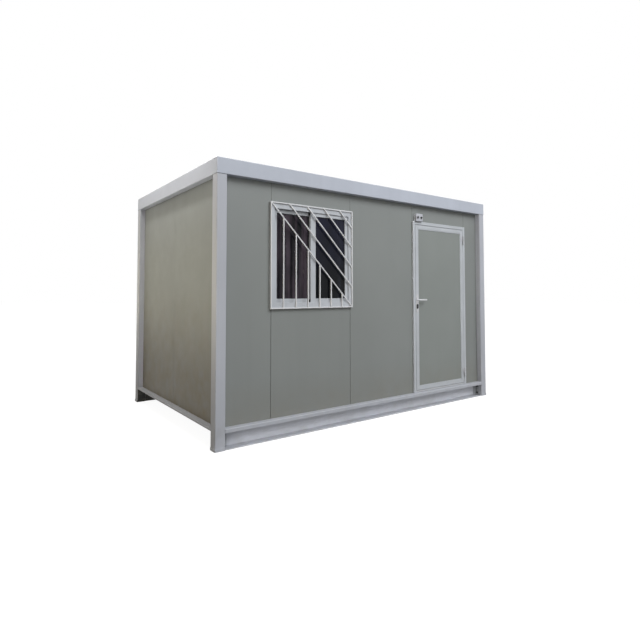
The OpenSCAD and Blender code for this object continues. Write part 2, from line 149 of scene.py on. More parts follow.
def steel_paint(name, colour, roughness=0.5, dust_height=0.35, shade_underneath=False, dark_edge=None):
    """Sprayed paint: cloudy tone, faint rain streaks, dust near the ground and an orange-peel skin.
    Where the under-floor shade flag is set, faces that look in under the floor are painted dark with a
    grimy mottle: painted shade of the space under the cabin. Where a lower edge height is given, a band
    just above it is darkened with the same mottle."""
    finish = Finish(name, {"Specular IOR Level": 0.3})
    height = finish.along("Z")
    cloud = finish.fit(finish.grain(1.7), 0.3, 0.7)
    streak = finish.fit(finish.grain(9.0, (1.0, 1.0, 0.06)), 0.5, 0.8, 0.0, 0.3)
    near_floor = finish.fit(height, 0.0, dust_height, 0.25, 0.0)
    ground_tint = finish.maths("MULTIPLY", near_floor, finish.fit(finish.grain(11.0), 0.35, 0.7))
    tone = finish.tint(cloud, shade(colour, 0.95), shade(colour, 1.04))
    tone = finish.tint(streak, tone, shade(colour, 0.86))
    tone = finish.tint(ground_tint, tone, ROAD_DUST)
    if shade_underneath or dark_edge:
        shade_and_grime = finish.tint(finish.fit(finish.grain(26.0), 0.35, 0.65), DARK_SHADE_AND_GRIME, PALE_SHADE_AND_GRIME)
    if shade_underneath:
        # Painted shade: faces inside the frame below the floor are darkened with the mottle.
        under = finish.maths("LESS_THAN", height, floor_low.z)
        painted_shade_under_floor = finish.maths("MULTIPLY", finish.within("Y", floor_high.y + WEB_T / 2), under)
        tone = finish.tint(painted_shade_under_floor, tone, shade_and_grime)
    if dark_edge:
        # A darker mottled band just above the given lower edge.
        dark_edge_band = finish.fit(height, dark_edge, dark_edge + DARK_EDGE_BAND_H, 0.75, 0.0)
        tone = finish.tint(dark_edge_band, tone, shade_and_grime)
    gloss = finish.fit(finish.grain(6.0), 0.3, 0.7, roughness - 0.07, roughness + 0.07)
    return finish.lay_on(tone, gloss, finish.grain(420.0, detail=1.0), 0.0002)


def dress(material, *names):
    """Gives CAD nodes their finish."""
    for name in names:
        for slot in nodes[name].material_slots:
            slot.material = material


FRAME_GREY = paint_chart(171, 173, 180)
# The frame paint carries painted shade on faces that look in under the floor.
frame_paint = steel_paint("light_grey_frame_paint", FRAME_GREY, shade_underneath=True)
dress(frame_paint, *POSTS)


def edges_of(verts):
    """All edges that meet at these vertices."""
    return list({edge for vert in verts for edge in vert.link_edges})


def edges_along(verts, axis):
    """Those edges of a box that run along axis 0, 1 or 2."""
    return [e for e in edges_of(verts) if abs(e.verts[0].co[axis] - e.verts[1].co[axis]) > 0.0001]


def soften(bm, edges, radius, steps, clamp=False):
    """Rounds edges over with an even arc."""
    bmesh.ops.bevel(bm, geom=edges, offset=radius, offset_type="OFFSET", affect="EDGES", segments=steps,
                    profile=0.5, material=-1, clamp_overlap=clamp)


def round_over(bm, verts, radius, steps=2):
    """Rounds all edges that meet at these vertices."""
    soften(bm, edges_of(verts), radius, steps, clamp=True)


def block(bm, corner, opposite, radius=0.0, steps=2):
    """Adds a box between two opposite corners, its edges rounded over where a radius is given."""
    low, high = Vector(map(min, corner, opposite)), Vector(map(max, corner, opposite))
    place = Matrix.Translation((low + high) / 2) @ Matrix.Diagonal((*(high - low), 1.0))
    made = bmesh.ops.create_cube(bm, size=1.0, matrix=place)["verts"]
    if radius:
        round_over(bm, made, radius, steps)
    return made


def show(name, data):
    """Puts a mesh, lamp or camera into the scene at the origin."""
    made = bpy.data.objects.new(name, data)
    bpy.context.scene.collection.objects.link(made)
    return made


def piece(name, bm, material, body="cabin", smooth=None):
    """Turns a finished bmesh into a piece of the cabin that rides on a body. Edges flatter than the
    smooth angle, in degrees, are shaded round."""
    mesh = bpy.data.meshes.new(name)
    bm.to_mesh(mesh)
    bm.free()
    mesh.materials.append(material)
    if smooth:
        mesh.shade_smooth()
        mesh.set_sharp_from_angle(angle=radians(smooth))
    made = show(name, mesh)
    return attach(made, body)


def seal(name, colour):
    """Rubber or sealant: matt, slightly mottled, with a fine skin."""
    finish = Finish(name, {"Specular IOR Level": 0.25})
    tone = finish.tint(finish.grain(30.0), shade(colour, 0.7), shade(colour, 1.3))
    gloss = finish.fit(finish.grain(80.0), 0.2, 0.8, 0.55, 0.8)
    return finish.lay_on(tone, gloss, finish.grain(700.0), 0.0002)


SEALANT_H = 0.003
SEALANT_PROUD = 0.0006
POST_R = 0.008
FOOT_TOP = 0.022
WELD_H = 0.004
WELD_PROUD = 0.003
WELD_SUNK = 0.001
WELD_BACK = 0.0005
WELD_R = 0.0028
UP = Vector((0.0, 0.0, 1.0))
ring_low, ring_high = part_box("front_roof_beam")
sealant, welds = bmesh.new(), bmesh.new()
for name in POSTS:
    low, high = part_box(name)
    out = Vector((1.0 if high.x > 0 else -1.0, 1.0 if high.y > 0 else -1.0, 0.0))
    outer = out * Vector((ring_high.x, -ring_low.y, 0.0))
    inner = out * Vector((min(abs(low.x), abs(high.x)), min(abs(low.y), abs(high.y)), 0.0))
    bead = block(sealant, outer + out * SEALANT_PROUD + UP * (high.z - SEALANT_H),
                 inner - out * SEALANT_PROUD + UP * high.z)
    soften(sealant, edges_along(bead, 2), POST_R, 3)
    block(welds, outer + out * WELD_PROUD + UP * (FOOT_TOP - WELD_SUNK),
          inner + out * WELD_BACK + UP * (FOOT_TOP + WELD_H), WELD_R)
grey_seal = seal("grey_seal", paint_chart(104, 106, 110))
piece("post_sealant", sealant, grey_seal)
piece("foot_welds", welds, frame_paint)


# Floor beams and end rails: pressed channels in the frame's grey, with joists of dark primed steel
# between them. Each beam end is bolted to its post through an angle cleat painted mid grey, with two
# hexagon bolts and washers.
# The floor beams take the same painted shade on their faces in under the floor.
dress(frame_paint, "front_floor_beam", "rear_floor_beam")
rail_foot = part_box("left_floor_rail")[0].z
# The end rails are painted darker in a band along their foot.
rail_paint = steel_paint("end_rail_paint", FRAME_GREY, dark_edge=rail_foot)
dress(rail_paint, "left_floor_rail", "right_floor_rail")

primer = Finish("dark_primed_steel", {"Specular IOR Level": 0.3, "Metallic": 0.2})
primer_cloud = primer.fit(primer.grain(7.0), 0.35, 0.65)
primer_tone = primer.tint(primer_cloud, paint_chart(84, 86, 88), paint_chart(104, 105, 106))
rust_spots = primer.fit(primer.grain(38.0), 0.62, 0.74, 0.0, 0.5)
primer_tone = primer.tint(rust_spots, primer_tone, paint_chart(92, 66, 48))
primer_gloss = primer.fit(primer.grain(16.0), 0.3, 0.7, 0.45, 0.7)
dark_steel = primer.lay_on(primer_tone, primer_gloss, primer.grain(260.0), 0.0003)
dress(dark_steel, "floor_joists")
dress(steel_paint("mid_grey_cleat_paint", paint_chart(142, 145, 149)), "beam_end_cleats")


def facing(spot, outward):
    """A placing that carries +Z over to the outward direction at a spot."""
    return Matrix.Translation(spot) @ Vector(outward).to_track_quat("Z", "Y").to_matrix().to_4x4()


def disc(bm, spot, outward, radius, height, sides=16, taper=1.0):
    """Adds a round or many-sided disc that stands on a surface."""
    place = facing(spot, outward) @ Matrix.Translation((0, 0, height / 2))
    return bmesh.ops.create_cone(bm, cap_ends=True, segments=sides, radius1=radius, radius2=radius * taper,
                                 depth=height, matrix=place)["verts"]


def bolt(bm, spot, outward, radius):
    """Adds a washer with a hexagon head on it."""
    washer_r, washer_t = radius * 1.35, radius * 0.2
    head_h, head_edge = radius * 0.7, radius * 0.08
    disc(bm, spot, outward, washer_r, washer_t, sides=20)
    head = disc(bm, spot + outward * washer_t, outward, radius, head_h, sides=6)
    round_over(bm, head, head_edge, 1)


BOLT_R = 0.011
BOLT_HEIGHTS = (0.034, 0.126)
BOLT_FROM_CLEAT = 0.024
CLEAT_T = 0.006
cleat_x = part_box("beam_end_cleats")[1].x - CLEAT_T
bolt_y = floor_high.y + WEB_T + CLEAT_T + BOLT_FROM_CLEAT
bolts = bmesh.new()
for end in (-1, 1):
    for side in (-1, 1):
        for height in BOLT_HEIGHTS:
            spot = Vector((end * cleat_x, side * bolt_y, height))
            bolt(bolts, spot, Vector((-end, 0.0, 0.0)), BOLT_R)
bolt_steel = steel_paint("dark_bolt_steel", paint_chart(58, 60, 62), roughness=0.4, dust_height=0.1)
piece("beam_end_bolts", bolts, bolt_steel)


# Floor: sheets of resin-faced plywood screwed to the joists, butted every 1.25 m. The brown face has
# a fine non-slip texture and is scuffed paler in patches.
SHEET_L = 1.25
BUTT_W = 0.0025
deck = Finish("brown_floor_board", {"Specular IOR Level": 0.35})
wear = deck.fit(deck.grain(1.6), 0.4, 0.75)
fibre = deck.grain(14.0, (0.12, 1.0, 1.0), 5.0)
deck_tone = deck.tint(fibre, paint_chart(78, 62, 49), paint_chart(112, 91, 72))
deck_tone = deck.tint(deck.maths("MULTIPLY", wear, 0.5), deck_tone, paint_chart(134, 119, 101))
from_butt = deck.maths("PINGPONG", deck.along("X"), SHEET_L / 2)
deck_tone = deck.tint(deck.fit(from_butt, 0.0, BUTT_W, 1.0, 0.0), deck_tone, paint_chart(30, 25, 20))
deck_gloss = deck.fit(wear, 0.0, 1.0, 0.45, 0.65)
tread = deck.add("TexVoronoi", {"Vector": deck.place, "Scale": 160.0}).outputs["Distance"]
dress(deck.lay_on(deck_tone, deck_gloss, tread, 0.0006), "floor_deck")


def sink(bm, verts, outward, rim, depth):
    """Leaves a rim round the outer face of a disc and sinks the rest of that face."""
    faces = {face for vert in verts for face in vert.link_faces}
    crown = max(faces, key=lambda face: face.calc_center_median().dot(outward))
    bmesh.ops.inset_region(bm, faces=[crown], thickness=rim)
    bmesh.ops.translate(bm, vec=outward * -depth, verts=crown.verts)


def screw(bm, spot, outward, radius, height):
    """Adds a pan head with a sunk drive in its crown."""
    rim, drive_depth = radius * 0.36, height * 0.55
    head = disc(bm, spot, outward, radius, height, sides=12, taper=0.78)
    sink(bm, head, outward, rim, drive_depth)


JOISTS = 6
SCREW_ROWS = 8
SCREW_EDGE = 0.06
DECK_SCREW_R = 0.0055
DECK_SCREW_H = 0.0012
joist_pitch = (floor_high.x - floor_low.x) / (JOISTS + 1)
row_pitch = (floor_high.y - floor_low.y - 2 * SCREW_EDGE) / (SCREW_ROWS - 1)
floor_screws = bmesh.new()
for joist in range(1, JOISTS + 1):
    for row in range(SCREW_ROWS):
        x, y = floor_low.x + joist * joist_pitch, floor_low.y + SCREW_EDGE + row * row_pitch
        screw(floor_screws, Vector((x, y, floor_high.z)), UP, DECK_SCREW_R, DECK_SCREW_H)
piece("floor_screws", floor_screws, dark_steel)


# Roof ring: four lipped channels of folded steel with mitred corners, sprayed a slightly bluer grey
# than the posts that they stand on.
ring_paint = steel_paint("pale_ring_paint", paint_chart(174, 178, 188), roughness=0.46)
dress(ring_paint, "front_roof_beam", "rear_roof_beam", "left_roof_beam", "right_roof_beam")


# Roof: ribbed insulated sheet laid on the ring's lower flanges, pale grey above and white below as the
# ceiling. Hexagon screws with washers hold each rib crest at both ends and twice between.
CEILING_SKIN = 0.001
roof_low, roof_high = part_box("roof_sheet")
roof_skin = Finish("ribbed_roof_sheet", {"Specular IOR Level": 0.4})
weather = roof_skin.fit(roof_skin.grain(2.2), 0.3, 0.7)
roof_tone = roof_skin.tint(weather, paint_chart(158, 161, 163), paint_chart(182, 184, 185))
run_off = roof_skin.fit(roof_skin.grain(10.0, (1.0, 0.06, 1.0)), 0.5, 0.78, 0.0, 0.45)
roof_tone = roof_skin.tint(run_off, roof_tone, paint_chart(128, 127, 122))
ceiling = roof_skin.maths("LESS_THAN", roof_skin.along("Z"), roof_low.z + CEILING_SKIN)
roof_tone = roof_skin.tint(ceiling, roof_tone, paint_chart(222, 222, 218))
roof_gloss = roof_skin.fit(weather, 0.0, 1.0, 0.4, 0.58)
dress(roof_skin.lay_on(roof_tone, roof_gloss, roof_skin.grain(300.0), 0.0002), "roof_sheet")

RIB_PITCH = 0.25
RIBS = 16
ROOF_SCREW_R = 0.007
SHARES_OF_RIB = (0.04, 0.34, 0.66, 0.96)
roof_screws = bmesh.new()
for rib in range(RIBS):
    x = (rib - (RIBS - 1) / 2) * RIB_PITCH
    for share in SHARES_OF_RIB:
        y = roof_low.y + share * (roof_high.y - roof_low.y)
        bolt(roof_screws, Vector((x, y, roof_high.z)), UP, ROOF_SCREW_R)
piece("roof_screws", roof_screws, ring_paint)


# Wall panels: foam sandwich between two steel skins, grey-green outside and white inside, standing in
# the frame edge to edge. A grey strip lies sunk in each joint of the front and rear. The joints of the
# end walls are filled flush in the left wall's skin, which is painted warmer and darker towards the
# ground as painted shade.
FRONT_PANELS = ("left_panel", "under_window", "over_window", "middle_panel", "over_door", "right_panel")
PANELS = ["front_wall_" + part for part in FRONT_PANELS]
PANELS += [f"rear_wall_panel_{number}" for number in range(1, 5)]
PANELS += [f"{end}_wall_panel_{number}" for end in ("left", "right") for number in (1, 2)]
INNER_SKIN = 0.0005


def panel_skin(name, colour, roughness, ground_tint=ROAD_DUST, ground_tint_share=0.5, ground_tint_reach=0.4):
    """Coil-coated steel: even colour with faint clouds, rain marks and a tint that reaches up from the
    floor: road dust by default, and on the left end wall a warm dark painted shade. Faces on the room's
    side are white."""
    finish = Finish(name, {"Specular IOR Level": 0.25})
    cloud = finish.fit(finish.grain(1.1, detail=2.0), 0.3, 0.7)
    tone = finish.tint(cloud, shade(colour, 0.965), shade(colour, 1.03))
    rain = finish.fit(finish.grain(7.0, (1.0, 1.0, 0.05), 4.0), 0.5, 0.85, 0.0, 0.35)
    tone = finish.tint(rain, tone, shade(colour, 0.9))
    near_floor = finish.fit(finish.along("Z"), floor_high.z, floor_high.z + ground_tint_reach, ground_tint_share, 0.0)
    tone = finish.tint(finish.maths("MULTIPLY", near_floor, finish.grain(8.0)), tone, ground_tint)
    gloss = finish.fit(finish.grain(5.0), 0.3, 0.7, roughness - 0.06, roughness + 0.06)
    within_x = finish.within("X", floor_high.x + INNER_SKIN)
    within_y = finish.within("Y", floor_high.y + INNER_SKIN)
    inside = finish.maths("MULTIPLY", within_x, within_y)
    tone = finish.tint(inside, tone, paint_chart(224, 224, 220))
    return finish.lay_on(tone, gloss, finish.grain(500.0, detail=1.0), 0.00012)


PANEL_GREY = paint_chart(128, 131, 129)
WARM_GROUND_SHADE = paint_chart(118, 106, 82)
wall_skin = panel_skin("grey_wall_skin", PANEL_GREY, 0.52)
dress(wall_skin, *PANELS)
# Painted shade: the left end's skin is painted warmer and darker from the floor up to 1.3 m.
low_shaded_skin = panel_skin("left_wall_skin_painted_shade", PANEL_GREY, 0.52, WARM_GROUND_SHADE, 1.1, 1.3)
dress(low_shaded_skin, "left_wall_panel_1", "left_wall_panel_2")

STRIP_W = 0.0026
STRIP_SUNK = 0.0012
END_STRIP_W = 0.006
END_STRIP_SUNK = 0.0001
STRIP_BACK = 0.0036
HIGH_PANEL = 0.1
strips, end_strips = bmesh.new(), bmesh.new()
for name in PANELS:
    low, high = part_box(name)
    if low.z > floor_high.z + HIGH_PANEL:
        continue
    lengthways = 0 if high.x - low.x > high.y - low.y else 1
    across = 1 - lengthways
    outside = high[across] if high[across] > 0 else low[across]
    inward = -1 if outside > 0 else 1
    bm, width, sunk = (strips, STRIP_W, STRIP_SUNK) if across else (end_strips, END_STRIP_W, END_STRIP_SUNK)
    for edge in (low[lengthways], high[lengthways]):
        start, end = Vector(low), Vector(high)
        start[lengthways], end[lengthways] = edge - width / 2, edge + width / 2
        start[across], end[across] = outside + inward * sunk, outside + inward * STRIP_BACK
        block(bm, start, end)
joint_grey = steel_paint("grey_joint_strip", paint_chart(96, 98, 95), roughness=0.6)
piece("panel_joint_strips", strips, joint_grey)
piece("end_wall_joint_strips", end_strips, low_shaded_skin)


# Window frame: white coated aluminium sections, mitred at the corners and clamped on to the panels
# from both sides. A groove round the inside carries the sashes; covered slots in the foot let rain out.
coat = Finish("white_powder_coat", {"Specular IOR Level": 0.4})
soil = coat.fit(coat.grain(3.0), 0.35, 0.75)
coat_tone = coat.tint(soil, paint_chart(181, 184, 189), paint_chart(170, 173, 177))
drips = coat.fit(coat.grain(16.0, (1.0, 1.0, 0.08)), 0.55, 0.8, 0.0, 0.35)
coat_tone = coat.tint(drips, coat_tone, paint_chart(150, 150, 148))
coat_gloss = coat.fit(soil, 0.0, 1.0, 0.34, 0.48)
white_coat = coat.lay_on(coat_tone, coat_gloss, coat.grain(600.0), 0.0001)


def mitred_frame(bm, low, high, side, rail, radius):
    """Adds four bars cut at an angle round an opening: side is the width of the uprights, rail the
    height of the bars above and below. Each bar's edges are rounded, so the mitres show as lines."""
    low, high = Vector(low), Vector(high)
    middle, half = (low + high) / 2, (high - low) / 2
    for across, along, face, other in ((0, 2, side, rail), (2, 0, rail, side)):
        for end in (-1, 1):
            start, stop = low.copy(), high.copy()
            if end < 0:
                stop[across] = low[across] + face
            else:
                start[across] = high[across] - face
            made = block(bm, start, stop)
            inner = [v for v in made if abs(v.co[across] - middle[across]) < half[across] - face / 2]
            narrow = Vector((1, 1, 1))
            narrow[along] = (half[along] - other) / half[along]
            bmesh.ops.scale(bm, vec=narrow, space=Matrix.Translation(-middle), verts=inner)
            if radius:
                round_over(bm, made, radius)


FRAME_FLANGE = 0.018
FRAME_EDGE = 0.0015
TRACK = 0.015
SASH_FIT = 0.0003
win_low, win_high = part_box("window_frame")
sash_low, sash_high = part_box("window_sashes")
frame_side = sash_low.x - SASH_FIT + TRACK - win_low.x
frame_head = sash_low.z - SASH_FIT + TRACK - win_low.z
wall_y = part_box("front_wall_middle_panel")[0].y
room_y = floor_low.y
lip = Vector((FRAME_FLANGE, 0, FRAME_FLANGE))
# Depth from, depth to, whether the section reaches over the panels, whether it stands in the light
SECTIONS = (
    (win_low.y, sash_low.y - SASH_FIT, True, True),
    (sash_low.y - SASH_FIT, wall_y, True, False),
    (wall_y, room_y, False, False),
    (room_y, sash_high.y + SASH_FIT, True, False),
    (sash_high.y + SASH_FIT, win_high.y, True, True),
)
window_frame = bmesh.new()
for near, far, over_panels, in_light in SECTIONS:
    cut = Vector() if over_panels else lip
    deep = (0.0 if in_light else TRACK) + cut.x
    section_low = Vector((win_low.x, near, win_low.z)) + cut
    section_high = Vector((win_high.x, far, win_high.z)) - cut
    edge_r = FRAME_EDGE if in_light else 0.0
    mitred_frame(window_frame, section_low, section_high, frame_side - deep, frame_head - deep, edge_r)
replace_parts(piece("window_frame_sections", window_frame, white_coat), "window_frame")

WEEP_W = 0.028
WEEP_H = 0.008
WEEP_UP = 0.036
WEEP_PROUD = 0.0025
WEEP_SUNK = 0.001
WEEP_EDGE = 0.0012
SHARES_OF_FOOT = (0.12, 0.38, 0.62, 0.88)
weeps = bmesh.new()
for share in SHARES_OF_FOOT:
    spot = Vector((win_low.x + share * (win_high.x - win_low.x), win_low.y, win_low.z + WEEP_UP))
    block(weeps, spot - Vector((WEEP_W / 2, WEEP_PROUD, WEEP_H / 2)),
          spot + Vector((WEEP_W / 2, WEEP_SUNK, WEEP_H / 2)), WEEP_EDGE)
piece("window_weep_covers", weeps, white_coat)


# Sashes: two aluminium frames with their rails set between the stiles, which slide past each other with
# the right one outermost. Black gaskets hold the panes, and black guide blocks stand at head and foot
# where the stiles meet.
MEETING = 0.066
SASH_T = 0.020
SASH_EDGE = 0.002
RAIL_BACK = 0.0006
GASKET = 0.006
GASKET_EDGE = 0.0008
GASKET_DEPTHS = ((0.0045, 0.0075), (0.0125, 0.0155))
glass_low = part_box("window_glass")[0]
stile, rail = glass_low.x - sash_low.x, glass_low.z - sash_low.z
sash_w = (sash_high.x - sash_low.x + MEETING) / 2
sashes, gaskets = bmesh.new(), bmesh.new()
for outer in (True, False):
    y = sash_low.y if outer else sash_high.y - SASH_T
    left = sash_high.x - sash_w if outer else sash_low.x
    start = Vector((left, y, sash_low.z))
    end = Vector((left + sash_w, y + SASH_T, sash_high.z))
    left_w, right_w = (MEETING, stile) if outer else (stile, MEETING)
    pane_left, pane_right = start.x + left_w, end.x - right_w
    pane_foot, pane_head = start.z + rail, end.z - rail
    for x0, x1 in ((start.x, pane_left), (pane_right, end.x)):
        block(sashes, (x0, start.y, start.z), (x1, end.y, end.z), SASH_EDGE)
    for z0, z1 in ((start.z, pane_foot), (pane_head, end.z)):
        block(sashes, (pane_left, start.y + RAIL_BACK, z0), (pane_right, end.y - RAIL_BACK, z1), SASH_EDGE)
    for near, far in GASKET_DEPTHS:
        mitred_frame(gaskets, (pane_left, y + near, pane_foot), (pane_right, y + far, pane_head),
                     GASKET, GASKET, GASKET_EDGE)
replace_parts(piece("sash_frames", sashes, white_coat), "window_sashes")
black_seal = seal("black_seal", paint_chart(35, 36, 37))
piece("glazing_gaskets", gaskets, black_seal)

GUIDE_W = 0.013
GUIDE_H = 0.034
GUIDE_IN_FRAME = 0.004
GUIDE_PROUD = 0.001
GUIDE_FIT = 0.0005
GUIDE_EDGE = 0.002
stile_x = sash_high.x - sash_w
low_guide = win_low.z + frame_head - GUIDE_IN_FRAME
high_guide = win_high.z - frame_head - GUIDE_H + GUIDE_IN_FRAME
guides = bmesh.new()
for foot in (low_guide, high_guide):
    block(guides, (stile_x - GUIDE_W, sash_low.y - GUIDE_PROUD, foot),
          (stile_x - GUIDE_FIT, sash_low.y + SASH_T, foot + GUIDE_H), GUIDE_EDGE)
piece("sash_guide_blocks", guides, black_seal)


# Glass: two float panes, their colour painted dark as painted shade of the room behind. Brown and grey
# streaks drawn out from top to bottom, a bluer top on the right pane and a few pale flecks are painted
# reflections of what the panes mirror.
RIGHT_DARK_REFLECTION_BELOW = 1.55
RIGHT_SKY_REFLECTION_ABOVE = 1.95
window_x = (win_low.x + win_high.x) / 2
glass = Finish("window_glass_painted_reflection", {"Specular IOR Level": 0.06, "IOR": 1.45, "Transmission Weight": 0.25})
reflection_bands = glass.grain(15.0, (1.0, 1.0, 0.05), 2.0)
reflection_clouds = glass.grain(5.0, (1.0, 1.0, 0.7), 3.0)
# Painted reflection: the pane colours below stand for mirrored surroundings and the shaded room.
left_pane_reflection = glass.tint(glass.fit(reflection_bands, 0.39, 0.61), paint_chart(17, 19, 25), paint_chart(74, 64, 73))
right_sky_rise = glass.fit(glass.along("Z"), RIGHT_DARK_REFLECTION_BELOW, RIGHT_SKY_REFLECTION_ABOVE)
right_pane_reflection = glass.tint(right_sky_rise, paint_chart(15, 19, 23), paint_chart(30, 32, 50))
right_pane_reflection = glass.tint(glass.fit(reflection_bands, 0.5, 0.7, 0.0, 0.4), right_pane_reflection, paint_chart(58, 62, 74))
painted_glass_reflection = glass.tint(glass.maths("GREATER_THAN", glass.along("X"), window_x), left_pane_reflection, right_pane_reflection)
painted_glass_reflection = glass.tint(glass.fit(reflection_clouds, 0.45, 0.7, 0.0, 0.6), painted_glass_reflection, paint_chart(14, 16, 19))
reflection_flecks = glass.fit(glass.grain(24.0, (1.0, 1.0, 0.5), 1.0), 0.7, 0.8, 0.0, 0.6)
painted_glass_reflection = glass.tint(reflection_flecks, painted_glass_reflection, paint_chart(92, 86, 88))
glass_gloss = glass.fit(reflection_clouds, 0.0, 1.0, 0.04, 0.12)
dress(glass.lay_on(painted_glass_reflection, glass_gloss, glass.grain(3.0), 0.0003), "window_glass")


# Window grille: square steel bars welded into a flat guard and sprayed white. One bar runs corner to
# corner, slanting bars fill the half above it and upright bars the half below; screws hold the rim.
BAR = 0.012
BAR_EDGE = 0.0014
INNER_BAR = 0.96 * BAR
WELD_SWELL = (1.5, 1.02, 1.5, 1.0)
SLANT_PITCH = 0.214
SLANTS = 5
UPRIGHTS = 6
RIM_SCREW_R = 0.0045
RIM_SCREW_H = 0.0022
SHARES_OF_RIM = (0.06, 0.5, 0.94)
FORWARD = Vector((0.0, -1.0, 0.0))
GRILLE_WHITE = paint_chart(208, 208, 210)
grille_paint = steel_paint("white_grille_paint", GRILLE_WHITE, roughness=0.42, dust_height=0.05)
grille_low, grille_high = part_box("window_grille")
grille_y = (grille_low.y + grille_high.y) / 2
rim_w, rim_h = grille_high.x - grille_low.x, grille_high.z - grille_low.z
grille = bmesh.new()
mitred_frame(grille, grille_low, grille_high, BAR, BAR, BAR_EDGE)


def grille_bar(start, end):
    """Adds a square bar between two points of the grille's plane, with a weld at each end."""
    way = Vector((end[0] - start[0], 0.0, end[1] - start[1]))
    turn = way.to_track_quat("X", "Z").to_matrix().to_4x4()
    spot = Vector(((start[0] + end[0]) / 2, grille_y, (start[1] + end[1]) / 2))
    place = Matrix.Translation(spot) @ turn @ Matrix.Diagonal((way.length, INNER_BAR, INNER_BAR, 1.0))
    round_over(grille, bmesh.ops.create_cube(grille, size=1.0, matrix=place)["verts"], BAR_EDGE)
    for x, z in (start, end):
        swell = Matrix.Translation((x, grille_y, z)) @ Matrix.Diagonal(WELD_SWELL)
        bmesh.ops.create_icosphere(grille, subdivisions=2, radius=BAR / 2, matrix=swell)


fall = rim_h / rim_w
rim_top, rim_foot = grille_high.z - BAR / 2, grille_low.z + BAR / 2
rim_left, rim_right = grille_low.x + BAR / 2, grille_high.x - BAR / 2
for number in range(SLANTS):
    x = grille_low.x + number * SLANT_PITCH
    grille_bar((x + BAR / 2 / fall, rim_top), (rim_right, grille_high.z - (rim_right - x) * fall))
for number in range(1, UPRIGHTS + 1):
    x = grille_low.x + number * rim_w / (UPRIGHTS + 1)
    grille_bar((x, rim_foot), (x, grille_high.z - (x - grille_low.x) * fall))
for share in SHARES_OF_RIM:
    for x in (rim_left, rim_right):
        spot = Vector((x, grille_low.y, grille_low.z + share * rim_h))
        screw(grille, spot, FORWARD, RIM_SCREW_R, RIM_SCREW_H)
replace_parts(piece("grille_bars", grille, grille_paint), "window_grille")


# Door frame: white coated aluminium jambs and head fixed to the panels, with a stop behind the leaf
# that carries a grey gasket. The threshold is a ribbed mill-finish section.
JAMB_EDGE = 0.001
STOP_EDGE = 0.0015
STOP_INSET = 0.004
STOP_BACK = 0.0006
SET_BACK = 0.0004
jamb_low, jamb_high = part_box("door_jambs")
head_low, head_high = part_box("door_head")
sill_low, sill_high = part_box("door_threshold")
leaf_low, leaf_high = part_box("door_leaf_frame")
plate_low, plate_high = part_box("lock_plates")
jamb_w = head_low.x - jamb_low.x
leaf_gap = leaf_low.x - head_low.x
head_foot = head_high.z - jamb_w
stop_w = head_foot - head_low.z
stop_y = plate_high.y + leaf_gap
jambs, head = bmesh.new(), bmesh.new()
for outer_x, inward in ((jamb_low.x, 1), (jamb_high.x, -1)):
    inner_x = outer_x + inward * jamb_w
    block(jambs, (outer_x, jamb_low.y, jamb_low.z), (inner_x, jamb_high.y, jamb_high.z), JAMB_EDGE)
    block(jambs, (outer_x + inward * STOP_INSET, stop_y, jamb_low.z + SET_BACK),
          (inner_x + inward * stop_w, jamb_high.y - STOP_BACK, head_foot), STOP_EDGE)
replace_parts(piece("door_jamb_sections", jambs, white_coat), "door_jambs")
block(head, (head_low.x, head_low.y + SET_BACK, head_foot), head_high - Vector((0, SET_BACK, 0)), JAMB_EDGE)
block(head, (head_low.x + stop_w, stop_y, head_low.z),
      (head_high.x - stop_w, head_high.y - STOP_BACK, head_foot + STOP_INSET), STOP_EDGE)
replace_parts(piece("door_head_section", head, white_coat), "door_head")

LEAF_SEAL_W = 0.004
LEAF_SEAL_EDGE = 0.0012
LEAF_SEAL_CLEAR = 0.001
LEAF_SEAL_SUNK = 0.001
LEAF_SEAL_LAP = 0.0003
LEAF_SEAL_FIT = 0.0002
seal_inset = leaf_gap + LEAF_SEAL_FIT
seal_low, seal_high = head_low.x + seal_inset, head_high.x - seal_inset
seal_top = head_foot - seal_inset
seal_near, seal_far = leaf_high.y + LEAF_SEAL_CLEAR, stop_y + LEAF_SEAL_SUNK
gasket = bmesh.new()
for x in (seal_low, seal_high - LEAF_SEAL_W):
    block(gasket, (x, seal_near, sill_high.z), (x + LEAF_SEAL_W, seal_far, seal_top), LEAF_SEAL_EDGE)
block(gasket, (seal_low, seal_near + LEAF_SEAL_LAP, seal_top - LEAF_SEAL_W),
      (seal_high, seal_far - LEAF_SEAL_LAP, seal_top), LEAF_SEAL_EDGE)
piece("door_gasket", gasket, grey_seal)

SILL_EDGE = 0.003
SILL_LAP = 0.002
TREADS = 5
TREAD_FIRST = 0.007
TREAD_PITCH = 0.0105
TREAD_W = 0.005
TREAD_SHORT = 0.004
TREAD_PROUD = 0.0012
TREAD_SUNK = 0.001
TREAD_EDGE = 0.0008
mill = Finish("mill_finish_aluminium", {"Metallic": 0.85, "Specular IOR Level": 0.5})
drawn = mill.grain(60.0, (0.03, 1.0, 1.0), 4.0)
mill_tone = mill.tint(drawn, paint_chart(168, 170, 173), paint_chart(198, 199, 201))
mill_aluminium = mill.lay_on(mill_tone, mill.fit(drawn, 0.2, 0.8, 0.3, 0.46), drawn, 0.0002)
sill = bmesh.new()
block(sill, sill_low, (sill_high.x, stop_y, sill_high.z), SILL_EDGE)
block(sill, (sill_low.x + stop_w, stop_y - SILL_LAP, sill_low.z + SET_BACK),
      sill_high - Vector((stop_w, 0, SET_BACK)), SILL_EDGE)
tread_inset = stop_w + TREAD_SHORT
for number in range(TREADS):
    y = sill_low.y + TREAD_FIRST + number * TREAD_PITCH
    block(sill, (sill_low.x + tread_inset, y, sill_high.z - TREAD_SUNK),
          (sill_high.x - tread_inset, y + TREAD_W, sill_high.z + TREAD_PROUD), TREAD_EDGE, 1)
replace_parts(piece("ribbed_threshold", sill, mill_aluminium), "door_threshold")


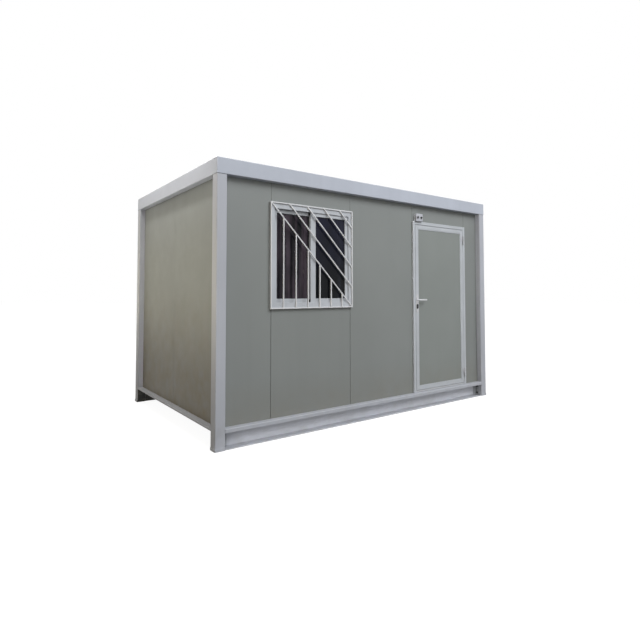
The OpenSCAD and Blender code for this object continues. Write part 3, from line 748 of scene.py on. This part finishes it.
# Door leaf: hollow white stiles and rails round a flat insulated infill skinned like the walls.
# Snap-in beads hold the infill on both faces.
LEAF_EDGE = 0.001
BEAD = 0.011
BEAD_EDGE = 0.0015
BEAD_BACK = 0.002
BEAD_SUNK = 0.001
infill_low, infill_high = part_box("door_infill")
door_skin = panel_skin("grey_door_skin", paint_chart(129, 133, 130), 0.5)
dress(door_skin, "door_infill")
leaf, beads = bmesh.new(), bmesh.new()
leaf_stile = infill_low.x - leaf_low.x
mitred_frame(leaf, leaf_low, leaf_high, leaf_stile, leaf_stile, LEAF_EDGE)
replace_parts(piece("door_leaf_sections", leaf, white_coat, "door"), "door_leaf_frame")
front_bead = (leaf_low.y + BEAD_BACK, infill_low.y + BEAD_SUNK)
rear_bead = (infill_high.y - BEAD_SUNK, leaf_high.y - BEAD_BACK)
for near, far in (front_bead, rear_bead):
    mitred_frame(beads, (infill_low.x, near, infill_low.z), (infill_high.x, far, infill_high.z),
                 BEAD, BEAD, BEAD_EDGE)
piece("door_infill_beads", beads, white_coat, "door")


# Hinges: two knuckle hinges of coated steel, one half screwed to the jamb and one to the leaf. Domed
# caps close the ends of the pins.
HINGE_INSET = 0.14
HINGE_H = 0.11
FLAP_T = 0.003
FLAP_MIDDLE = 0.024
FLAP_SCREW_R = 0.005
FLAP_SCREW_H = 0.0018
FLAP_SCREW_HEIGHTS = (0.014, 0.041)
CAP_R = 0.00828
CAP_H = 0.004
CAP_EDGE = 0.0012
hinge_paint = steel_paint("hinge_coat", paint_chart(186, 187, 192), roughness=0.36, dust_height=0.05)
dress(hinge_paint, "hinge_frame_halves", "hinge_leaf_halves")
axis_x, axis_y = frame["joints"][0]["pos_m"][:2]
flap_y = leaf_low.y - FLAP_T
frame_screws, leaf_screws = bmesh.new(), bmesh.new()
for middle in (leaf_low.z + HINGE_INSET, leaf_high.z - HINGE_INSET):
    for bm, way, flap_foot in ((frame_screws, 1, middle - HINGE_H / 2), (leaf_screws, -1, middle)):
        for height in FLAP_SCREW_HEIGHTS:
            spot = Vector((axis_x + way * FLAP_MIDDLE, flap_y, flap_foot + height))
            screw(bm, spot, FORWARD, FLAP_SCREW_R, FLAP_SCREW_H)
        pin_end = Vector((axis_x, axis_y, middle - way * HINGE_H / 2))
        round_over(bm, disc(bm, pin_end, UP * -way, CAP_R, CAP_H, taper=0.8), CAP_EDGE)
piece("hinge_frame_fittings", frame_screws, hinge_paint, smooth=35)
piece("hinge_leaf_fittings", leaf_screws, hinge_paint, "door", smooth=35)


# Lock: a long satin plate on each face of the stile, with a dark oval rosette round the key cylinder
# and its slot, and a lever of satin aluminium whose neck bends over into a flattened grip.
satin = Finish("satin_aluminium", {"Metallic": 0.7, "Specular IOR Level": 0.5})
brushed = satin.grain(90.0, (0.06, 1.0, 1.0), 3.0)
satin_tone = satin.tint(brushed, paint_chart(176, 177, 180), paint_chart(204, 204, 206))
satin_aluminium = satin.lay_on(satin_tone, satin.fit(brushed, 0.2, 0.8, 0.3, 0.42), brushed, 0.0001)


def soft_plate(bm, corner, opposite, corner_r, rim_r, face_y):
    """Adds a flat plate with round corners and a softened rim on its outer face."""
    before = set(bm.edges)
    soften(bm, edges_along(block(bm, corner, opposite), 1), corner_r, 6)
    rim = [e for e in set(bm.edges) - before if all(abs(v.co.y - face_y) < 1e-6 for v in e.verts)]
    soften(bm, rim, rim_r, 2)


PLATE_R = 0.009
PLATE_RIM = 0.0012
PLATE_SCREW_IN = 0.012
PLATE_SCREW_R = 0.0042
PLATE_SCREW_H = 0.0014
plate_x = (plate_low.x + plate_high.x) / 2
plates = bmesh.new()
for seat_y, face_y, way in ((leaf_low.y, plate_low.y, -1), (leaf_high.y, plate_high.y, 1)):
    soft_plate(plates, (plate_low.x, seat_y, plate_low.z), (plate_high.x, face_y, plate_high.z),
               PLATE_R, PLATE_RIM, face_y)
    for z in (plate_low.z + PLATE_SCREW_IN, plate_high.z - PLATE_SCREW_IN):
        screw(plates, Vector((plate_x, face_y, z)), FORWARD * -way, PLATE_SCREW_R, PLATE_SCREW_H)
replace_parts(piece("lock_cover_plates", plates, satin_aluminium, "door"), "lock_plates")

ROSETTE_W = 0.031
ROSETTE_H = 0.060
ROSETTE_T = 0.0026
ROSETTE_SUNK = 0.0004
ROSETTE_CORNER = 0.01488
ROSETTE_RIM = 0.0009
key_dark = steel_paint("dark_key_metal", paint_chart(34, 35, 37), roughness=0.35, dust_height=0.05)
dress(key_dark, "key_cylinder")
key_low, key_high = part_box("key_cylinder")
key_x, key_z = (key_low.x + key_high.x) / 2, (key_low.z + key_high.z) / 2
rosettes = bmesh.new()
for seat_y, way in ((plate_low.y, -1), (plate_high.y, 1)):
    face_y = seat_y + way * ROSETTE_T
    soft_plate(rosettes, (key_x - ROSETTE_W / 2, seat_y - way * ROSETTE_SUNK, key_z - ROSETTE_H / 2),
               (key_x + ROSETTE_W / 2, face_y, key_z + ROSETTE_H / 2), ROSETTE_CORNER, ROSETTE_RIM, face_y)
piece("key_rosettes", rosettes, black_seal, "door", smooth=35)

KEY_R = 0.0085
PLUG_R = 0.00663
PLUG_H = 0.0012
PLUG_EDGE = 0.0004
SLOT_PROUD = 0.0014
HALF_SLOT = Vector((0.0008, 0.0, 0.0045))
key_plugs = bmesh.new()
for end_y, way in ((key_low.y, -1), (key_high.y, 1)):
    spot, out = Vector((key_x, end_y, key_high.z - KEY_R)), FORWARD * -way
    round_over(key_plugs, disc(key_plugs, spot, out, PLUG_R, PLUG_H, sides=24), PLUG_EDGE, 1)
    block(key_plugs, spot - HALF_SLOT, spot + HALF_SLOT + out * SLOT_PROUD)
piece("key_plugs", key_plugs, bolt_steel, "door", smooth=35)

LEVER_R = 0.009
COLLAR_R = 0.01215
COLLAR_SUNK = 0.001
BEND_R = 0.016
GRIP = 0.135
# Depth of each step of the collar, and the share to which it narrows
COLLAR_STEPS = ((0.004, 1.0), (0.0015, 0.8), (0.0, 0.93))
# Share of the grip's length, then how much its depth and its height change over it
GRIP_STEPS = ((0.2, 0.86, 1.06), (0.3, 0.84, 1.08), (0.3, 1.0, 1.0), (0.14, 0.95, 0.96),
              (0.035, 0.82, 0.84), (0.017, 0.6, 0.62), (0.008, 0.3, 0.3))


def draw_out(bm, edges, move, swell=(1.0, 1.0, 1.0)):
    """Lengthens an open tube by a move and swells its new end about its middle."""
    made = bmesh.ops.extrude_edge_only(bm, edges=edges)["geom"]
    verts = [g for g in made if isinstance(g, bmesh.types.BMVert)]
    bmesh.ops.translate(bm, vec=move, verts=verts)
    middle = sum((v.co for v in verts), Vector()) / len(verts)
    bmesh.ops.scale(bm, vec=swell, space=Matrix.Translation(-middle), verts=verts)
    return [g for g in made if isinstance(g, bmesh.types.BMEdge) and all(v in verts for v in g.verts)]


lever_axis = Vector(frame["joints"][1]["pos_m"])
grip_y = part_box("door_lever")[0].y + LEVER_R
tube_y = plate_low.y + COLLAR_SUNK
lever = bmesh.new()
ring_place = facing((lever_axis.x, tube_y, lever_axis.z), FORWARD)
ring = bmesh.ops.create_circle(lever, cap_ends=False, segments=20, radius=COLLAR_R, matrix=ring_place)
tube = edges_of(ring["verts"])
for depth, swell in COLLAR_STEPS:
    tube = draw_out(lever, tube, FORWARD * depth, (swell, 1.0, swell))
    tube_y -= depth
tube = draw_out(lever, tube, (0, grip_y + BEND_R - tube_y, 0))
bend = bmesh.ops.spin(lever, geom=tube, cent=(lever_axis.x + BEND_R, grip_y + BEND_R, lever_axis.z),
                      axis=UP, angle=pi / 2, steps=7, use_merge=False, use_duplicate=False)
tube = [g for g in bend["geom_last"] if isinstance(g, bmesh.types.BMEdge)]
for share, flat_y, flat_z in GRIP_STEPS:
    tube = draw_out(lever, tube, ((GRIP - BEND_R) * share, 0, 0), (1.0, flat_y, flat_z))
bmesh.ops.contextual_create(lever, geom=tube)
bmesh.ops.mirror(lever, geom=lever.verts[:] + lever.edges[:] + lever.faces[:], axis="Y", merge_dist=-1.0,
                 matrix=Matrix.Translation((0, -(leaf_low.y + leaf_high.y) / 2, 0)))
bmesh.ops.remove_doubles(lever, verts=lever.verts, dist=0.00002)
bmesh.ops.holes_fill(lever, edges=lever.edges, sides=24)
bmesh.ops.recalc_face_normals(lever, faces=lever.faces)
lever_handles = piece("lever_handles", lever, satin_aluminium, "lever", smooth=50)
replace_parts(lever_handles, "door_lever")


# Inlet box: a small moulded box over the door with a screwed lid and two round cable inlets that are
# closed by dark blanking plugs.
INLET_R = 0.019
INLET_PROUD = 0.005
INLET_ROOT = 0.001
INLET_RIM = 0.004
INLET_SUNK = 0.004
BLANK_R = 0.0138
BLANK_PROUD = 0.0008
BLANK_H = 0.002
BLANK_EDGE = 0.0006
LID_T = 0.014
LID_EDGE = 0.006
LID_GAP = 0.0012
BASE_INSET = 0.0015
BASE_EDGE = 0.004
LID_SCREW_IN = 0.009
LID_SCREW_SUNK = 0.0006
LID_SCREW_R = 0.0036
LID_SCREW_H = 0.0016
shell = Finish("white_moulded_plastic", {"Specular IOR Level": 0.45})
yellowing = shell.fit(shell.grain(12.0), 0.35, 0.7)
shell_tone = shell.tint(yellowing, paint_chart(180, 181, 188), paint_chart(168, 169, 175))
shell_gloss = shell.fit(yellowing, 0.0, 1.0, 0.4, 0.52)
white_plastic = shell.lay_on(shell_tone, shell_gloss, shell.grain(900.0), 0.0001)
inlet_low, inlet_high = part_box("inlet_box")
inlet_w, inlet_z = inlet_high.x - inlet_low.x, (inlet_low.z + inlet_high.z) / 2
lid_y = inlet_low.y + INLET_PROUD
inlet, blanks = bmesh.new(), bmesh.new()
block(inlet, (inlet_low.x + BASE_INSET, lid_y + LID_T + LID_GAP, inlet_low.z + BASE_INSET),
      inlet_high - Vector((BASE_INSET, 0, BASE_INSET)), BASE_EDGE, 3)
block(inlet, (inlet_low.x, lid_y, inlet_low.z), (inlet_high.x, lid_y + LID_T, inlet_high.z), LID_EDGE, 4)
for share in (0.25, 0.75):
    spot = Vector((inlet_low.x + share * inlet_w, lid_y, inlet_z))
    collar = disc(inlet, spot - FORWARD * INLET_ROOT, FORWARD, INLET_R, INLET_PROUD + INLET_ROOT, 32, 0.94)
    sink(inlet, collar, FORWARD, INLET_RIM, INLET_SUNK)
    blank = disc(blanks, spot + FORWARD * BLANK_PROUD, FORWARD, BLANK_R, BLANK_H, sides=28)
    round_over(blanks, blank, BLANK_EDGE)
for x in (inlet_low.x + LID_SCREW_IN, inlet_high.x - LID_SCREW_IN):
    for z in (inlet_low.z + LID_SCREW_IN, inlet_high.z - LID_SCREW_IN):
        screw(inlet, Vector((x, lid_y + LID_SCREW_SUNK, z)), FORWARD, LID_SCREW_R, LID_SCREW_H)
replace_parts(piece("inlet_housing", inlet, white_plastic, smooth=35), "inlet_box")
piece("inlet_plugs", blanks, black_seal, smooth=35)


# Camera: it stands off the window end of the front at a little over chest height, tilted slightly up.
# A small shift frames the cabin as a picture cropped off centre does.
CAMERA_TILT = 2.347
CAMERA_TURN = -36.025
camera_data = bpy.data.cameras.new("camera")
camera_data.sensor_width = 36.0
camera_data.lens = 26.628
camera_data.shift_x = 0.00939
camera_data.shift_y = -0.0739
camera = show("camera", camera_data)
camera.location = (-3.775, -5.156, 1.410)
camera.rotation_euler = (radians(90 + CAMERA_TILT), 0.0, radians(CAMERA_TURN))
bpy.context.scene.camera = camera


# Light: an even pale sky, a cool panel high in front, others beside the camera and behind, and a warm
# one off the left end, which is the warmest side. Thin strips lift what these leave dark: the eaves,
# brow and soffit on the left, the kerb along the front, and the far and right posts.
bpy.context.scene.view_settings.view_transform = "Standard"


def light_panel(name, spot, target, size, power, colour, spread=180.0):
    """A studio panel of a given width and height, aimed at a point. Its spread is in degrees."""
    data = bpy.data.lights.new(name, "AREA")
    data.shape = "RECTANGLE"
    data.size, data.size_y = size
    data.energy = power
    data.color = colour
    data.spread = radians(spread)
    lamp = show(name, data)
    lamp.location = spot
    lamp.rotation_euler = (Vector(target) - Vector(spot)).to_track_quat("-Z", "Y").to_euler()
    lamp.visible_camera = False


DAYLIGHT = (0.93, 0.965, 1.0)
COOL_WHITE = (0.96, 0.98, 1.0)
PLAIN_WHITE = (0.98, 0.99, 1.0)
WARM_WHITE = (1.0, 0.98, 0.95)
EVENING = (1.0, 0.90, 0.67)
light_panel("front_panel", (2.6, -7.5, 8.5), (0.4, -1.2, 1.4), (6.0, 5.0), 880.0, DAYLIGHT)
light_panel("left_panel", (-4.45, 0.0, 1.22), (-2.0, 0.0, 1.57), (4.0, 1.0), 10.2, EVENING, 52.0)
light_panel("left_eaves_strip", (-2.4, 0.0, 3.6), (-2.0, 0.0, 2.5), (2.8, 0.15), 12.7, WARM_WHITE, 100.0)
light_panel("left_brow_strip", (-3.6, 0.0, 2.9), (-2.0, 0.0, 2.55), (2.8, 0.15), 1.6, WARM_WHITE, 45.0)
light_panel("camera_side_panel", (-4.5, -6.5, 3.5), (-0.5, -1.0, 1.4), (3.0, 2.5), 75.0, PLAIN_WHITE)
light_panel("rear_panel", (3.5, 7.5, 4.5), (0.3, 1.2, 1.3), (6.0, 3.0), 360.0, WARM_WHITE)
light_panel("kerb_strip", (0.0, -2.3, 0.02), (0.0, -1.14, 0.008), (3.7, 0.03), 1.15, COOL_WHITE, 20.0)
light_panel("far_post_strip", (-2.6, -4.5, 1.3), (-1.97, 1.1, 1.3), (0.1, 2.2), 0.43,
            (1.0, 0.98, 0.94), 8.0)
light_panel("right_post_strip", (-4.0, -2.2, 1.4), (1.94, -1.2, 1.4), (0.1, 2.2), 1.0, COOL_WHITE, 16.0)
light_panel("left_soffit_strip", (-2.3, 0.0, 0.2), (-1.97, 0.0, 2.48), (2.4, 0.05), 0.55,
            (1.0, 0.96, 0.86), 12.0)


def seen_directly(wiring):
    """Gives 1 to rays from the camera, from a gloss or through glass, and 0 to those that only light."""
    path = wiring.add("LightPath").outputs
    seen = wiring.maths("MAXIMUM", path["Is Camera Ray"], path["Is Glossy Ray"])
    return wiring.maths("MAXIMUM", seen, path["Is Transmission Ray"])


SKY_LEVEL = 0.45
WHITE_SKY = (1.0, 1.0, 1.0, 1.0)
WARM_SKY = (0.70, 0.58, 0.36, 1.0)
WARM_FROM = -0.15
WARM_FULL = -0.70
world = bpy.data.worlds.new("pale_sky")
world.use_nodes = True
bpy.context.scene.world = world
sky = Wiring(world.node_tree)
seen = seen_directly(sky)
sky_way = sky.add("SeparateXYZ", {0: sky.add("TexCoord").outputs["Generated"]})
warmth = sky.fit(sky_way.outputs["X"], WARM_FULL, WARM_FROM, 1.0, 0.0)
background = world.node_tree.nodes["Background"]
sky.feed(background.inputs["Color"], sky.tint(seen, sky.tint(warmth, WHITE_SKY, WARM_SKY), WHITE_SKY))
sky.feed(background.inputs["Strength"], sky.fit(seen, 0.0, 1.0, SKY_LEVEL, 1.0))


# Studio floor: a wide white sheet that takes the cabin's shadow. It bounces little light back up, so
# the walls darken towards the ground.
FLOOR_SIDE = 120.0
FLOOR_DROP = 0.0005
FLOOR_BOUNCE = (0.15, 0.15, 0.15, 1.0)
FLOOR_GLOW = 0.95
sheet = bpy.data.materials.new("white_floor")
sheet.use_nodes = True
sheet_nodes = sheet.node_tree.nodes
sheet_nodes.remove(sheet_nodes["Principled BSDF"])
white = Wiring(sheet.node_tree)
matt = white.add("BsdfDiffuse", {"Color": FLOOR_BOUNCE}).outputs[0]
glow = white.add("Emission", {"Strength": FLOOR_GLOW}).outputs[0]
bright = white.add("AddShader", {0: matt, 1: glow}).outputs[0]
surface = white.add("MixShader", {0: seen_directly(white), 1: matt, 2: bright}).outputs[0]
white.feed(sheet_nodes["Material Output"].inputs["Surface"], surface)
floor_bm = bmesh.new()
bmesh.ops.create_grid(floor_bm, x_segments=1, y_segments=1, size=FLOOR_SIDE / 2,
                      matrix=Matrix.Translation((0, 0, -FLOOR_DROP)))
floor_mesh = bpy.data.meshes.new("floor")
floor_bm.to_mesh(floor_mesh)
floor_bm.free()
floor_mesh.materials.append(sheet)
floor = show("floor", floor_mesh)
